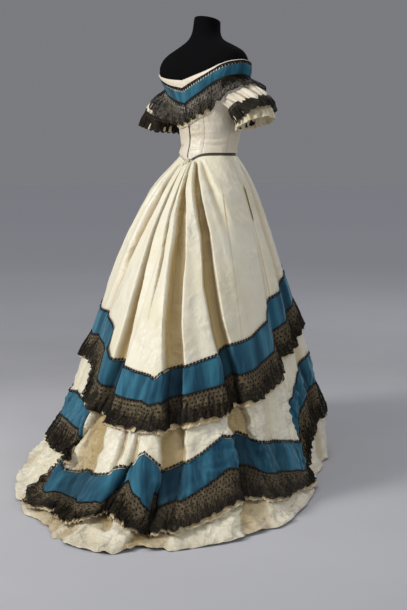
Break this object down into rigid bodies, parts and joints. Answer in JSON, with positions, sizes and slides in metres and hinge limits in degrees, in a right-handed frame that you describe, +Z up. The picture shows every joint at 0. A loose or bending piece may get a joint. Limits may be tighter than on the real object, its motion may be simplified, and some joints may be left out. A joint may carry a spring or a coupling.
{
  "type": "ball gown on a dress form",
  "caption": "Off-the-shoulder silk ball gown with velvet bands, lace flounces, short puffed sleeves and a swept train, standing on a limbless dress form with a pole and round base",
  "frame": {"origin": "on the floor under the form's pole, at the middle of the base's underside", "axes": "+Z up; the gown's front faces -Y and its train +Y; the wearer's right is -X"},
  "size_m": [1.3019, 1.3597, 1.5077],
  "materials": {
    "silk": "ivory silk taffeta, crisp, with a soft sheen",
    "velvet": "teal silk velvet ribbon with a short pile",
    "lace": "black dotted net lace with a floral border",
    "frill": "cream silk, gathered, with a pinked edge",
    "jersey": "matte black knitted cover",
    "iron": "matte black paint"
  },
  "bodies": {
    "root": {"form_torso": "jersey", "form_pole": "iron", "form_base": "iron", "bodice_back_right": "silk", "bodice_side_back_right": "silk", "bodice_front_right": "silk", "bodice_front_left": "silk", "bodice_side_back_left": "silk", "bodice_back_left": "silk", "neck_band": "silk", "waistband": "silk", "sleeve_puff_right": "silk", "sleeve_puff_left": "silk", "skirt_centre_back": "silk", "skirt_back_right": "silk", "skirt_side_right": "silk", "skirt_side_front_right": "silk", "skirt_front": "silk", "skirt_side_front_left": "silk", "skirt_side_left": "silk", "skirt_back_left": "silk", "bertha_velvet_band": "velvet", "upper_velvet_band": "velvet", "lower_velvet_band": "velvet", "bertha_lace": "lace", "sleeve_lace_right": "lace", "sleeve_lace_left": "lace", "upper_lace_flounce": "lace", "lower_lace_flounce": "lace", "bertha_frill_back": "frill", "bertha_frill_front": "frill", "waist_tie": "frill", "sleeve_frill_right": "frill", "sleeve_frill_left": "frill", "upper_silk_frill": "frill", "lower_silk_frill": "frill"}
  },
  "joints": []
}
